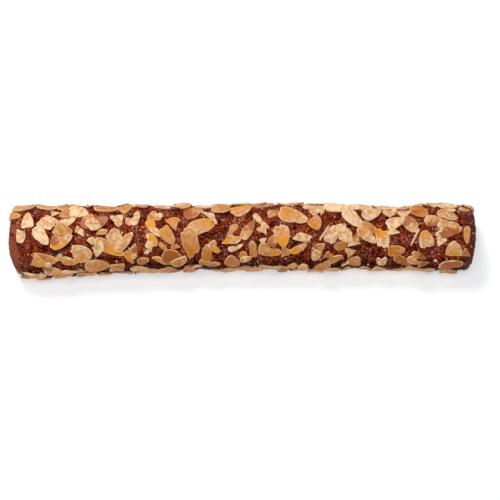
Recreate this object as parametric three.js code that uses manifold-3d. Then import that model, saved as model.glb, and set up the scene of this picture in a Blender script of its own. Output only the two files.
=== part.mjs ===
// Filled spiced cookie bar: a long baked log of dark spiced dough, flat underneath and domed on
// top, with flaked almonds baked onto its top, sides and shoulders. The bar is uncut, so dough and
// flakes are one solid. X runs along the bar, +Y to its back, Z up, in millimetres. The origin is
// under the middle of the bar, on the plane that it rests on.
import * as THREE from "three";
import { mergeVertices } from "three/addons/utils/BufferGeometryUtils.js";
import Module from "manifold-3d";

// ---- Driving dimensions ----------------------------------------------------------------------
const BAR_LENGTH = 300;
const CORE_HEIGHT = 9.5; // the sides are widest at this height
const TOP_ROUNDNESS = 2.25; // exponent of the domed upper half, 2 is an ellipse
const FOOT_ROUNDNESS = 3.4; // exponent of the lower half, squarer
const FOOT_SINK = 1.6; // how far the lower half would reach under the flat base
const END_ROUNDING = 3.8; // length over which an end closes
const END_ROUNDNESS = 5.5;
const SKEW_REACH = 26; // length over which an end leans out of square
const RING_STEP = 7; // spacing of the dough's cross-sections
const END_RINGS = 5;
const GIRTH_POINTS = 24; // points of a cross-section, the last two at the flat base
const GIRTH_END = 123; // degrees down each side that they reach

// Plan and height of the bar by stations along it: how far its middle lies to the back, half its
// width, and its height.
const STATIONS = [
  { along: -150, middle: 0.1, half: 22.6, height: 25.2 },
  { along: -128, middle: -0.8, half: 23.7, height: 27.0 },
  { along: -104, middle: 0.1, half: 22.4, height: 27.6 },
  { along: -72, middle: 1.4, half: 21.5, height: 27.0 },
  { along: -38, middle: 1.9, half: 20.8, height: 27.4 },
  { along: 0, middle: 2.6, half: 20.7, height: 27.0 },
  { along: 40, middle: 2.6, half: 21.0, height: 27.6 },
  { along: 76, middle: 2.9, half: 20.4, height: 26.8 },
  { along: 98, middle: 1.5, half: 19.6, height: 26.2 },
  { along: 118, middle: 2.2, half: 20.9, height: 27.2 },
  { along: 150, middle: 1.8, half: 21.2, height: 25.6 },
];

// How far a front corner of the plan is drawn in along the bar, and how much of that falls on the
// very corner. An end is -1 at the left and 1 at the right.
const CORNER_CUTS = [
  { end: -1, by: 4.6, power: 3 },
  { end: 1, by: 2.6, power: 1.4 },
];

// Swells of the dough: height, turns per millimetre along, lobes round, phase.
const SWELLS = [
  { height: 0.34, along: 0.19, lobes: 2, phase: 0.4 },
  { height: 0.3, along: 0.33, lobes: 5, phase: 2.1 },
  { height: 0.24, along: 0.52, lobes: 9, phase: 4.0 },
];
const CRAG_HEIGHT = 0.4; // roughness from one point of the dough to the next
const CRAGS_END = -0.3; // cosine of the direction past which the dough is plain

// A corner of the right-hand end that tore open where the dough was folded shut.
const TORN_CORNER = { along: 146.3, round: 60, depth: 2.8, width: 2.6 };

// ---- Almond flakes ---------------------------------------------------------------------------
const FLAKE_TOP = 1.1; // upper face over the dough
const FLAKE_ROOT = 1.3; // lower face under the skin of the dough
const LAYER_LIFT = 0.8; // what each flake underneath adds
const FLAKE_STIFFNESS = 0.22; // share of the dough's curve that a flake doesn't follow
const TIP_TAPER = 0.3; // how much narrower the pointed end is
const FLOOR_GAP = 0.5; // flakes end this far above the table
const MM_PER_DEGREE = 0.36; // girth covered by one degree round the bar
const END_MARGIN = 8; // scattered flakes keep this far from the ends
const LARGE_FLAKE = 20; // from this length and width together a flake's outline is finer
const FLAKE_POINTS = { large: 8, small: 6 };

// A flake's outline is an almond's, drawn in to straight breaks. A break is the direction that it
// faces, in degrees from the pointed end, and how far from the middle it lies, 1 being the rim.
// A bite is a rounded notch in one side.
const CUTS = {
  whole: { breaks: [] },
  snapped: { breaks: [{ facing: 180, at: 0.25 }] },
  tipless: { breaks: [{ facing: 12, at: 0.5 }] },
  split: { breaks: [{ facing: 90, at: 0.15 }] },
  square: { breaks: [{ facing: 172, at: 0.4 }, { facing: -6, at: 0.5 }] },
  wedge: { breaks: [{ facing: 150, at: 0.35 }, { facing: -128, at: 0.3 }] },
  sector: { breaks: [{ facing: 62, at: 0.3 }, { facing: -58, at: 0.3 }] },
  shard: { breaks: [{ facing: 35, at: 0.5 }, { facing: 160, at: 0.45 }, { facing: -85, at: 0.4 }] },
  crescent: { breaks: [], bite: 80 },
};
const BITE_DEPTH = 0.75;
const BITE_SPREAD = 0.7; // in radians

// The flakes that stand out, where they lie: along the bar from its middle, degrees round it from
// the top towards the back, length, width, turn in its own plane, and cut. Later ones lie on top.
const SHOWN_FLAKES = [
  [-142, 62, 15, 8, 10, "whole"],
  [-127, 63, 13.5, 9, -3, "whole"],
  [-137.5, 27, 11.5, 8, 95, "snapped"],
  [-128, -8.5, 14.5, 8.3, -52, "whole"],
  [-124.5, 21, 12, 9.5, -25, "square"],
  [-112, 22, 12, 6.5, 25, "whole"],
  [-114, 1, 12, 9, -22, "snapped"],
  [-114.5, -22.5, 15.5, 7, 32, "whole"],
  [-126, -49, 17, 5.5, 167, "whole"],
  [-120.5, -75, 12.5, 8.5, -8, "whole"],
  [-106, 41, 15.5, 10, -18, "whole"],
  [-98.5, 19, 11.5, 8.5, 65, "whole"],
  [-92.8, 14.5, 15, 9.5, 28, "whole"],
  [-88.5, 54, 15, 10, -5, "whole"],
  [-75.5, 51, 9.5, 8.5, 40, "snapped"],
  [-79.3, 21.5, 10.5, 8.5, -55, "shard"],
  [-68.6, 24, 10.5, 6.2, 72, "crescent"],
  [-81.3, -16.5, 10.5, 9.5, -50, "whole"],
  [-84.5, -36, 21, 8, -24, "whole"],
  [-91, -35, 10, 6.5, 45, "square"],
  [-74.8, -27, 16, 6.3, 48, "whole"],
  [-72, -46, 14, 7.5, 78, "shard"],
  [-101.8, -43.5, 12.5, 12.3, 8, "snapped"],
  [-92.5, -68, 16.5, 9.5, 3, "whole"],
  [-80.3, -75, 10.5, 7.5, 8, "square"],
  [-100.5, -94, 13.5, 6, 3, "split"],
  [-56.5, 1, 14, 6.5, -52, "crescent"],
  [-47.6, -15, 13, 8.5, -50, "snapped"],
  [-44, 8.5, 9.5, 9, -76, "sector"],
  [-58.2, -23.5, 9.5, 8.5, 100, "crescent"],
  [-45.4, -55, 12.5, 10.5, 5, "whole"],
  [-31.5, 35, 13, 9, 25, "whole"],
  [-33, -29, 20, 10.5, -74, "tipless"],
  [-26, 4, 18.5, 10, 20, "whole"],
  [-20, 25, 14, 5, -42, "shard"],
  [-14, 42.5, 13.5, 9, -14, "whole"],
  [-0.5, 41, 15, 9.5, 30, "whole"],
  [4, -5, 15, 6.5, 58, "whole"],
  [-22.7, -49, 11.5, 6.6, 84, "whole"],
  [-6.4, -69, 10, 9, -35, "whole"],
  [-21, -71, 14, 4.5, -14, "split"],
  [1, -92, 12.5, 6, 8, "whole"],
  [32.5, 23.5, 20, 11.5, -24, "whole"],
  [12, 13, 14, 4, -45, "crescent"],
  [25.5, -18, 14.5, 10, -78, "whole"],
  [17.5, -45, 14.5, 8, -12, "crescent"],
  [8, -96, 14, 6, 5, "split"],
  [17.5, -85, 14, 4.5, 3, "split"],
  [31.5, 67, 17, 7, 0, "whole"],
  [46, 46, 14.5, 9, 172, "crescent"],
  [61, 47, 17.5, 9, -7, "whole"],
  [70.5, 20, 17, 9.5, -52, "whole"],
  [65.5, -18, 11.5, 9, -40, "whole"],
  [57, -14.5, 12, 8.5, 65, "whole"],
  [72, -71, 9.5, 9, 60, "whole"],
  [81.5, -1, 13.5, 6, -28, "whole"],
  [79, -18.5, 15, 7, -38, "whole"],
  [79.5, 52, 12, 8.5, -45, "whole"],
  [83, 31, 14, 8.5, 28, "whole"],
  [89.2, -21, 13.5, 9, -85, "square"],
  [103.5, 38, 10.5, 8, 50, "shard"],
  [98, 16, 12.5, 8, 20, "whole"],
  [107.4, 9, 13, 8.7, -58, "whole"],
  [98.3, -45, 11, 7, 8, "whole"],
  [102.5, -67, 13.5, 6, -32, "whole"],
  [116.8, -23, 11, 9.5, 100, "snapped"],
  [117.8, -94, 13.5, 6.5, 4, "whole"],
  [113.8, 41.5, 13.5, 9, -42, "whole"],
  [122.5, 16, 12.5, 8, -4, "whole"],
  [131.8, 31, 13.5, 7.5, -22, "whole"],
  [132.2, -1, 16, 12, -2, "whole"],
  [126.8, -25, 8.5, 5.5, 30, "square"],
  [135.4, -41.5, 9.8, 10.5, 88, "snapped"],
  [134.5, -74, 16, 8, 12, "whole"],
];

// Scattered flakes fill the gaps between them low on both sides, from the largest to the smallest.
const SIZE_CLASSES = [
  { tries: 400, length: [13, 17], width: [8, 10], spacing: 1 },
  { tries: 900, length: [9, 12], width: [6.5, 8.5], spacing: 0.92 },
];
// Degrees from the top between which they lie, to the front and to the back, and the share in front.
const SCATTER_BANDS = { front: [-106, -84], back: [60, 106] };
const FRONT_SHARE = 0.25;
const MOST_FLAKES = 126;
const CUT_DRAW = ["whole", "whole", "snapped", "tipless", "split", "square", "wedge", "shard"];
const SEED = 4711;

const DOUGH_COLOUR = 0x7a3b22;
const DOUGH_ROUGHNESS = 0.6;

// ---- Helpers ---------------------------------------------------------------------------------
const radians = THREE.MathUtils.degToRad;
let drawState = SEED;

// The next number of a repeatable random sequence, between low and high.
function draw(low, high) {
  drawState = (Math.imul(drawState, 1664525) + 1013904223) >>> 0;
  return low + ((high - low) * drawState) / 4294967296;
}

// A repeatable value between -1 and 1 for a pair of whole numbers.
function hash(i, j) {
  const mixed = Math.imul(Math.imul(i + 374, 668265263) ^ Math.imul(j + 91, 374761393), 1274126177);
  return ((mixed ^ (mixed >>> 15)) >>> 0) / 2147483648 - 1;
}

// ---- Form of the dough -----------------------------------------------------------------------
// Middle, half width and height at a place along the bar, eased between the stations.
function outlineAt(x) {
  const last = STATIONS.length - 1;
  const held = THREE.MathUtils.clamp(x, STATIONS[0].along, STATIONS[last].along);
  const after = Math.max(1, STATIONS.findIndex((s) => s.along >= held));
  const [a, b] = [STATIONS[after - 1], STATIONS[after]];
  const t = THREE.MathUtils.smoothstep(held, a.along, b.along);
  const mix = (key) => THREE.MathUtils.lerp(a[key], b[key], t);
  return { middle: mix("middle"), half: mix("half"), height: mix("height") };
}

// How far an end of the bar leans along X at a distance across it.
function leanAt(x, y) {
  const share = THREE.MathUtils.clamp(-y / outlineAt(x).half, 0, 1);
  return CORNER_CUTS.reduce((lean, { end, by, power }) => {
    const near = THREE.MathUtils.smoothstep(end * x, BAR_LENGTH / 2 - SKEW_REACH, BAR_LENGTH / 2);
    return lean - end * by * near * share ** power;
  }, 0);
}

// Share of its full size that the section has near an end.
function closing(x) {
  const into = Math.max(0, Math.abs(x) - (BAR_LENGTH / 2 - END_ROUNDING)) / END_ROUNDING;
  return into >= 1 ? 0 : (1 - into ** END_ROUNDNESS) ** (1 / END_ROUNDNESS);
}

// Distance from the section's centre to the smooth skin, in a direction measured in radians from
// straight up towards the back.
function skinRadius(x, round) {
  const { half, height } = outlineAt(x);
  const [sine, cosine] = [Math.sin(round), Math.cos(round)];
  const upper = cosine > 0;
  const power = upper ? TOP_ROUNDNESS : FOOT_ROUNDNESS;
  const rise = upper ? height - CORE_HEIGHT : CORE_HEIGHT + FOOT_SINK;
  const curved = (Math.abs(sine / half) ** power + Math.abs(cosine / rise) ** power) ** (-1 / power);
  const flat = upper ? Infinity : CORE_HEIGHT / Math.max(1e-6, -cosine);
  const torn = TORN_CORNER;
  const off = Math.hypot(x - torn.along, MM_PER_DEGREE * (THREE.MathUtils.radToDeg(round) - torn.round));
  const swell = SWELLS.reduce((sum, s) => sum + s.height * Math.sin(s.along * x + s.lobes * round + s.phase), 0);
  const above = THREE.MathUtils.smoothstep(cosine, -0.6, -0.2); // the base stays plain
  const dent = torn.depth * Math.exp(-((off / torn.width) ** 2));
  return closing(x) * Math.min(curved + above * (swell - dent), flat);
}

// A point of the skin, pushed out by extra.
function skinPoint(x, round, extra = 0) {
  const radius = skinRadius(x, round) + extra;
  const y = radius * Math.sin(round);
  const z = CORE_HEIGHT + radius * Math.cos(round);
  return new THREE.Vector3(x + leanAt(x, y), outlineAt(x).middle + y, z);
}

// How far a point lies outside the skin, measured from the section's centre.
function clearance(p) {
  const y = p.y - outlineAt(p.x).middle;
  const x = p.x - leanAt(p.x, y);
  return Math.hypot(y, p.z - CORE_HEIGHT) - skinRadius(x, Math.atan2(y, p.z - CORE_HEIGHT));
}

// Outward direction of the skin at a point.
function outward(p) {
  const step = 1.2;
  const slope = (axis) =>
    clearance(p.clone().addScaledVector(axis, step)) - clearance(p.clone().addScaledVector(axis, -step));
  return new THREE.Vector3(
    slope(new THREE.Vector3(1, 0, 0)),
    slope(new THREE.Vector3(0, 1, 0)),
    slope(new THREE.Vector3(0, 0, 1)),
  ).normalize();
}

// Distance from a point down to the skin against the direction up, by halving.
function dropTo(point, up) {
  let [low, high] = [-9, 4];
  for (let i = 0; i < 18; i++) {
    const middle = (low + high) / 2;
    if (clearance(point.clone().addScaledVector(up, middle)) > 0) high = middle;
    else low = middle;
  }
  return (low + high) / 2;
}

// Closed mesh from rings of points, counterclockwise about the way they follow each other, with a
// point at each end.
function loft(rings, firstPole, lastPole) {
  const count = rings[0].length;
  const points = [firstPole, ...rings.flat(), lastPole];
  const faces = [];
  const at = (ring, i) => 1 + ring * count + (i % count);
  for (let i = 0; i < count; i++) faces.push(0, at(0, i + 1), at(0, i));
  for (let r = 0; r < rings.length - 1; r++)
    for (let i = 0; i < count; i++) {
      faces.push(at(r, i), at(r, i + 1), at(r + 1, i));
      faces.push(at(r, i + 1), at(r + 1, i + 1), at(r + 1, i));
    }
  for (let i = 0; i < count; i++) faces.push(points.length - 1, at(rings.length - 1, i), at(rings.length - 1, i + 1));
  const geometry = new THREE.BufferGeometry().setFromPoints(points);
  geometry.setIndex(faces);
  return geometry;
}

// The dough: cross-sections along the bar, closer together where the ends close.
function doughGeometry() {
  const straight = BAR_LENGTH / 2 - END_ROUNDING;
  const steps = Math.round((2 * straight) / RING_STEP);
  const places = Array.from({ length: steps + 1 }, (_, i) => -straight + (2 * straight * i) / steps);
  for (let i = 1; i <= END_RINGS; i++) {
    const x = straight + END_ROUNDING * Math.sin((Math.PI / 2) * (i / (END_RINGS + 0.7)));
    places.push(x);
    places.unshift(-x);
  }
  const rings = places.map((x, r) =>
    Array.from({ length: GIRTH_POINTS }, (_, i) => {
      const round = radians(GIRTH_END * (1 - (2 * i) / (GIRTH_POINTS - 1)));
      const rough = Math.cos(round) > CRAGS_END ? CRAG_HEIGHT * closing(x) * hash(r, i) : 0;
      return skinPoint(x, round, rough);
    }),
  );
  const pole = (x) => new THREE.Vector3(x, outlineAt(x).middle, CORE_HEIGHT);
  return loft(rings, pole(-BAR_LENGTH / 2), pole(BAR_LENGTH / 2));
}

// ---- Form of a flake -------------------------------------------------------------------------
// Outline of a flake in its own plane, drawn to its length and width.
function flakeOutline(flake, count) {
  const { breaks, bite } = CUTS[flake.cut];
  const points = Array.from({ length: count }, (_, i) => {
    const t = (2 * Math.PI * i) / count;
    const point = new THREE.Vector2(Math.cos(t), Math.sin(t) * (1 - TIP_TAPER * Math.cos(t)));
    for (const { facing, at } of breaks) {
      const reach = point.x * Math.cos(radians(facing)) + point.y * Math.sin(radians(facing));
      if (reach > at) point.multiplyScalar(at / reach);
    }
    if (bite !== undefined) {
      const off = (t - radians(bite)) / BITE_SPREAD;
      point.multiplyScalar(1 - BITE_DEPTH * Math.exp(-(off ** 2)));
    }
    return point;
  });
  const box = new THREE.Box2().setFromPoints(points);
  const middle = box.getCenter(new THREE.Vector2());
  const scale = new THREE.Vector2(flake.length, flake.width).divide(box.getSize(new THREE.Vector2()));
  return points.map((point) => point.sub(middle).multiply(scale));
}

// A flake as a closed plate that follows the dough under it, rooted in the dough.
function flakeGeometry(flake) {
  const round = radians(flake.round);
  const centre = skinPoint(flake.along, round);
  const up = outward(centre);
  const lengthwise = new THREE.Vector3(1, 0, 0).addScaledVector(up, -up.x).normalize();
  lengthwise.applyAxisAngle(up, radians(flake.turn));
  const sideways = new THREE.Vector3().crossVectors(up, lengthwise);
  const count = flake.length + flake.width > LARGE_FLAKE ? FLAKE_POINTS.large : FLAKE_POINTS.small;
  const top = FLAKE_TOP + LAYER_LIFT * flake.layer;
  const place = (u, v, lift, stiffness) => {
    const flat = centre.clone().addScaledVector(lengthwise, u).addScaledVector(sideways, v);
    const drop = dropTo(flat, up);
    const point = flat.addScaledVector(up, drop * (1 - stiffness) + lift);
    point.z = Math.max(point.z, FLOOR_GAP);
    return point;
  };
  const outline = flakeOutline(flake, count);
  const under = outline.map((p) => place(p.x * 0.92, p.y * 0.92, -FLAKE_ROOT, 0));
  const over = outline.map((p) => place(p.x, p.y, top, FLAKE_STIFFNESS));
  return loft([under, over], place(0, 0, -FLAKE_ROOT, 0), place(0, 0, top, FLAKE_STIFFNESS));
}

// ---- Where the flakes lie --------------------------------------------------------------------
// Share by which two flakes lie apart: 1 where they just touch, less where they overlap.
function apart(a, b) {
  const gap = Math.hypot(a.along - b.along, MM_PER_DEGREE * (a.round - b.round));
  return gap / ((a.length + a.width + b.length + b.width) / 4);
}

// Adds a flake, on top of any flake that it covers well.
function lay(flakes, flake) {
  const under = flakes.filter((other) => apart(flake, other) < 0.85);
  const layer = under.reduce((most, other) => Math.max(most, other.layer + 1), 0);
  flakes.push({ ...flake, layer: Math.min(layer, 2) });
}

// The flakes that stand out, then the scattered ones.
function layFlakes() {
  const flakes = [];
  for (const [along, round, length, width, turn, cut] of SHOWN_FLAKES)
    lay(flakes, { along, round, length, width, turn, cut });
  const reach = BAR_LENGTH / 2 - END_MARGIN;
  for (const size of SIZE_CLASSES)
    for (let i = 0; i < size.tries && flakes.length < MOST_FLAKES; i++) {
      const flake = {
        along: draw(-reach, reach),
        round: draw(...(draw(0, 1) < FRONT_SHARE ? SCATTER_BANDS.front : SCATTER_BANDS.back)),
        length: draw(...size.length),
        width: draw(...size.width),
        turn: draw(0, 360),
        cut: CUT_DRAW[Math.floor(draw(0, CUT_DRAW.length))],
      };
      if (flakes.every((other) => apart(flake, other) > size.spacing)) lay(flakes, flake);
    }
  return flakes;
}

// ---- Joining ---------------------------------------------------------------------------------
const wasm = await Module();
wasm.setup();

function solid(geometry) {
  const merged = mergeVertices(geometry, 1e-4);
  return new wasm.Manifold(
    new wasm.Mesh({
      numProp: 3,
      vertProperties: merged.attributes.position.array,
      triVerts: new Uint32Array(merged.index.array),
    }),
  );
}

const flakes = layFlakes();
const joined = flakes.reduce((whole, flake) => whole.add(solid(flakeGeometry(flake))), solid(doughGeometry()));
const bodies = joined.decompose().sort((a, b) => b.volume() - a.volume());
const mesh = bodies[0].getMesh(); // a sliver that a cut leaves loose is dropped
const geometry = new THREE.BufferGeometry();
geometry.setAttribute("position", new THREE.BufferAttribute(mesh.vertProperties, 3));
geometry.setIndex(new THREE.BufferAttribute(mesh.triVerts, 1));
geometry.computeVertexNormals();

const material = new THREE.MeshStandardMaterial({ color: DOUGH_COLOUR, roughness: DOUGH_ROUGHNESS, metalness: 0 });
const bar = new THREE.Mesh(geometry, material);
bar.name = "cookie_bar";

const part = new THREE.Group();
part.add(bar);
export default part;
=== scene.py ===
"""A filled spiced cookie bar: a long baked log of dark spiced dough under toasted almond flakes.

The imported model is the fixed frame. Its one solid is replaced by finer pieces of the same form: the
dough with its crumb, the whole and the broken almond flakes, and the crumbs between them. Sizes of
the food are in millimetres, in the frame's own axes: X along the bar, +Y to its back, Z up.
"""

from __future__ import annotations

import logging
import math
from dataclasses import dataclass, field, replace
from enum import Enum
from typing import Any, Iterable, Sequence

import bpy
import numpy as np
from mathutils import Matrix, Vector, noise

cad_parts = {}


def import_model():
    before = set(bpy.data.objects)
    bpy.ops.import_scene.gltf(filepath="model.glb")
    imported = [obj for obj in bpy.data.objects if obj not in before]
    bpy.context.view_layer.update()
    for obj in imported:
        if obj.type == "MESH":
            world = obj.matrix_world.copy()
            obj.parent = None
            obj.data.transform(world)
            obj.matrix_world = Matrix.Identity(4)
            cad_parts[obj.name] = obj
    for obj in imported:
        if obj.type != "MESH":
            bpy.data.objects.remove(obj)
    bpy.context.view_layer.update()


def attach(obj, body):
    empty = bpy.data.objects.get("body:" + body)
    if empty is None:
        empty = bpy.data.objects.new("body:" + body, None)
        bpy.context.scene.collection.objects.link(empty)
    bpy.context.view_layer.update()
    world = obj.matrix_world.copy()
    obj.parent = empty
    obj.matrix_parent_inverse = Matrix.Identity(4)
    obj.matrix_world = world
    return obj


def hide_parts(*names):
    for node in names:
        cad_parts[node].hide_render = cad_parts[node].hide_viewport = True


LOG = logging.getLogger("cookie_bar")
MM = 0.001
NODE = "cookie_bar"
BODY = "root"
Array = np.ndarray
Colour = tuple[float, float, float]
Span = tuple[float, float]
TINY = 1e-6


# ---- Small helpers ---------------------------------------------------------------------------
def smoothstep(value: Array | float, low: Array | float, high: Array | float) -> Array | float:
    """Eased share of the way from low to high, between 0 and 1."""
    t = np.clip((value - low) / (high - low), 0.0, 1.0)
    return t * t * (3.0 - 2.0 * t)


def srgb(red: int, green: int, blue: int) -> Colour:
    """Linear colour of a display colour given in steps of 255."""
    values = (v / 255.0 for v in (red, green, blue))
    return tuple(v / 12.92 if v <= 0.04045 else ((v + 0.055) / 1.055) ** 2.4 for v in values)


def heading(degrees: float) -> Array:
    """Cosine and sine of an angle: the unit direction that it gives."""
    return np.array([math.cos(math.radians(degrees)), math.sin(math.radians(degrees))])


class Draws:
    """Repeatable random sequence, the same as in the part's source."""

    FACTOR = 1664525
    STEP = 1013904223
    STATES = 2**32

    def __init__(self, seed: int) -> None:
        """Starts the sequence at the state seed."""
        self.state = seed

    def between(self, low: float, high: float) -> float:
        """Next number between low and high."""
        self.state = (self.state * self.FACTOR + self.STEP) % self.STATES
        return low + (high - low) * self.state / self.STATES

    def choice(self, options: Sequence[Any]) -> Any:
        """Next of some options."""
        return options[int(self.between(0, len(options)))]


# ---- Form of the dough -----------------------------------------------------------------------
@dataclass(frozen=True)
class Station:
    """Plan and height of the bar at one place along it."""

    along: float
    middle: float
    half: float
    height: float


@dataclass(frozen=True)
class Swell:
    """One long swell of the dough."""

    height: float
    along: float
    lobes: int
    phase: float


@dataclass(frozen=True)
class BarForm:
    """The smooth form of the bar, as in the part's source."""

    length: float = 300.0
    core_height: float = 9.5
    top_roundness: float = 2.25
    foot_roundness: float = 3.4
    foot_sink: float = 1.6
    end_rounding: float = 3.8
    end_roundness: float = 5.5
    skew_reach: float = 26.0
    # Front corners drawn in: the end, -1 at the left, how far, and how much falls on the very corner.
    corner_cuts: tuple[tuple[int, float, float], ...] = ((-1, 4.6, 3.0), (1, 2.6, 1.4))
    mm_per_degree: float = 0.36
    torn_along: float = 146.3
    torn_round: float = 60.0
    torn_depth: float = 2.8
    torn_width: float = 2.6
    # Cosines of the directions between which swells and dents fade out, towards the foot.
    foot_fade: Span = (-0.6, -0.2)
    # How far in and out of the skin a flake's points are searched for, and how many halvings it takes.
    search: Span = (-9.0, 4.0)
    halvings: int = 18
    stations: tuple[Station, ...] = (
        Station(-150, 0.1, 22.6, 25.2),
        Station(-128, -0.8, 23.7, 27.0),
        Station(-104, 0.1, 22.4, 27.6),
        Station(-72, 1.4, 21.5, 27.0),
        Station(-38, 1.9, 20.8, 27.4),
        Station(0, 2.6, 20.7, 27.0),
        Station(40, 2.6, 21.0, 27.6),
        Station(76, 2.9, 20.4, 26.8),
        Station(98, 1.5, 19.6, 26.2),
        Station(118, 2.2, 20.9, 27.2),
        Station(150, 1.8, 21.2, 25.6),
    )
    swells: tuple[Swell, ...] = (
        Swell(0.34, 0.19, 2, 0.4),
        Swell(0.3, 0.33, 5, 2.1),
        Swell(0.24, 0.52, 9, 4.0),
    )

    def outline_at(self, x: Array) -> tuple[Array, Array, Array]:
        """Plan and height of the bar, eased between the stations.

        Args:
            x: places along the bar.

        Returns:
            Its middle, half width and height there.
        """
        along = np.array([s.along for s in self.stations], float)
        sizes = np.array([(s.middle, s.half, s.height) for s in self.stations])
        held = np.clip(x, along[0], along[-1])
        after = np.clip(np.searchsorted(along, held), 1, len(along) - 1)
        share = smoothstep(held, along[after - 1], along[after])[..., None]
        mixed = sizes[after - 1] * (1.0 - share) + sizes[after] * share
        return mixed[..., 0], mixed[..., 1], mixed[..., 2]

    def lean_at(self, x: Array, y: Array) -> Array:
        """How far an end leans along X, where its front corner is drawn in.

        Args:
            x: places along the bar.
            y: distances across it from its middle.

        Returns:
            The shifts along X.
        """
        half_length = self.length / 2
        share = np.clip(-y / self.outline_at(x)[1], 0.0, 1.0)
        near = {end: smoothstep(end * x, half_length - self.skew_reach, half_length) for end in (-1, 1)}
        return sum(-end * by * near[end] * share**power for end, by, power in self.corner_cuts)

    def closing(self, x: Array) -> Array:
        """Share of its full size that the section has near an end.

        Args:
            x: places along the bar.

        Returns:
            The shares, from 0 at the very end to 1.
        """
        into = np.maximum(0.0, np.abs(x) - (self.length / 2 - self.end_rounding)) / self.end_rounding
        inside = np.clip(1.0 - np.minimum(into, 1.0) ** self.end_roundness, 0.0, 1.0)
        return inside ** (1.0 / self.end_roundness)

    def radius(self, x: Array, around: Array) -> Array:
        """Distance from the section's centre to the smooth skin.

        Args:
            x: places along the bar.
            around: directions in radians, from straight up towards the back.

        Returns:
            The distances in millimetres.
        """
        _, half, height = self.outline_at(x)
        sine, cosine = np.sin(around), np.cos(around)
        upper = cosine > 0
        power = np.where(upper, self.top_roundness, self.foot_roundness)
        rise = np.where(upper, height - self.core_height, self.core_height + self.foot_sink)
        curved = (np.abs(sine / half) ** power + np.abs(cosine / rise) ** power) ** (-1.0 / power)
        flat = np.where(upper, np.inf, self.core_height / np.maximum(TINY, -cosine))
        off = np.hypot(x - self.torn_along, self.mm_per_degree * (np.degrees(around) - self.torn_round))
        swell = sum(s.height * np.sin(s.along * x + s.lobes * around + s.phase) for s in self.swells)
        dent = self.torn_depth * np.exp(-((off / self.torn_width) ** 2))
        above = smoothstep(cosine, *self.foot_fade)
        return self.closing(x) * np.minimum(curved + above * (swell - dent), flat)

    def point(self, x: Array, around: Array) -> Array:
        """Points of the skin.

        Args:
            x: places along the bar.
            around: directions in radians, from straight up towards the back.

        Returns:
            The points, one row each.
        """
        x, around = np.broadcast_arrays(np.asarray(x, float), np.asarray(around, float))
        radius = self.radius(x, around)
        y = radius * np.sin(around)
        z = self.core_height + radius * np.cos(around)
        return np.stack([x + self.lean_at(x, y), self.outline_at(x)[0] + y, z], axis=-1)

    def clearance(self, points: Array) -> Array:
        """How far points lie outside the skin, measured from the section's centre.

        Args:
            points: the points, one row each.

        Returns:
            The distances, below zero inside.
        """
        y = points[..., 1] - self.outline_at(points[..., 0])[0]
        rise = points[..., 2] - self.core_height
        x = points[..., 0] - self.lean_at(points[..., 0], y)
        return np.hypot(y, rise) - self.radius(x, np.arctan2(y, rise))

    def outward(self, points: Array, step: float = 1.2) -> Array:
        """Outward directions of the skin.

        Args:
            points: points on it or near it.
            step: distance over which its slope is taken.

        Returns:
            A unit direction for each point.
        """
        steps = step * np.eye(3)
        slopes = [self.clearance(points + one) - self.clearance(points - one) for one in steps]
        slope = np.stack(slopes, axis=-1)
        return slope / np.linalg.norm(slope, axis=-1, keepdims=True)

    def drop_to(self, points: Array, up: Array) -> Array:
        """Looks for the skin along a direction, by halving.

        Args:
            points: where the search starts.
            up: its direction.

        Returns:
            Distances from the points to the skin.
        """
        low, high = (np.full(len(points), end) for end in self.search)
        for _ in range(self.halvings):
            middle = (low + high) / 2
            above = self.clearance(points + up * middle[:, None]) > 0
            high, low = np.where(above, middle, high), np.where(above, low, middle)
        return (low + high) / 2


# ---- Almond flakes and where they lie --------------------------------------------------------
@dataclass(frozen=True)
class Break:
    """A straight break: the direction it faces, from the pointed end, and how far out it lies."""

    facing: float
    at: float


class Cut(Enum):
    """How a flake is broken: by straight breaks, or by a rounded bite in one direction."""

    WHOLE = ()
    SNAPPED = (Break(180, 0.25),)
    TIPLESS = (Break(12, 0.5),)
    SPLIT = (Break(90, 0.15),)
    SQUARE = (Break(172, 0.4), Break(-6, 0.5))
    WEDGE = (Break(150, 0.35), Break(-128, 0.3))
    SECTOR = (Break(62, 0.3), Break(-58, 0.3))
    SHARD = (Break(35, 0.5), Break(160, 0.45), Break(-85, 0.4))
    CRESCENT = 80.0
    NOTCHED = 180.0


class Look(Enum):
    """How a flake is baked: its toast, its share of amber, and its share of brown glaze."""

    PALE = (0.04, 0.0, 0.0)
    WARM = (0.18, 0.32, 0.0)
    TAN = (0.4, 0.06, 0.0)
    GOLDEN = (0.34, 0.55, 0.0)
    AMBER = (0.2, 1.0, 0.0)
    ORANGE = (0.5, 2.0, 0.0)
    SPOTTED = (0.12, 0.9, 0.0)
    BAKED = (0.6, 0.34, 0.0)
    TOASTED = (0.85, 0.1, 0.0)
    GLAZED = (0.3, 0.0, 0.85)


# Short names for the tables.
WHOLE, SNAPPED, TIPLESS, SPLIT, SQUARE, WEDGE, SECTOR, SHARD, CRESCENT, NOTCHED = Cut
PALE, WARM, TAN, GOLDEN, AMBER, ORANGE, SPOTTED, BAKED, TOASTED, GLAZED = Look


@dataclass(frozen=True)
class Flake:
    """One flake: its place along the bar and in degrees round it, its size, turn, cut and bake.

    The patch of an uneven one faces in a direction from the pointed end. Layers of flakes under it
    lift it, and a tilt stands it on edge.
    """

    along: float
    round: float
    length: float
    width: float
    turn: float
    cut: Cut = WHOLE
    look: Look = PALE
    facing: float | None = None
    layer: float = 0.0
    tilt: float = 0.0


def flake_rows(*rows: tuple[Any, ...]) -> tuple[Flake, ...]:
    """Flakes from rows that give their values in order."""
    return tuple(Flake(*row) for row in rows)


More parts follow.
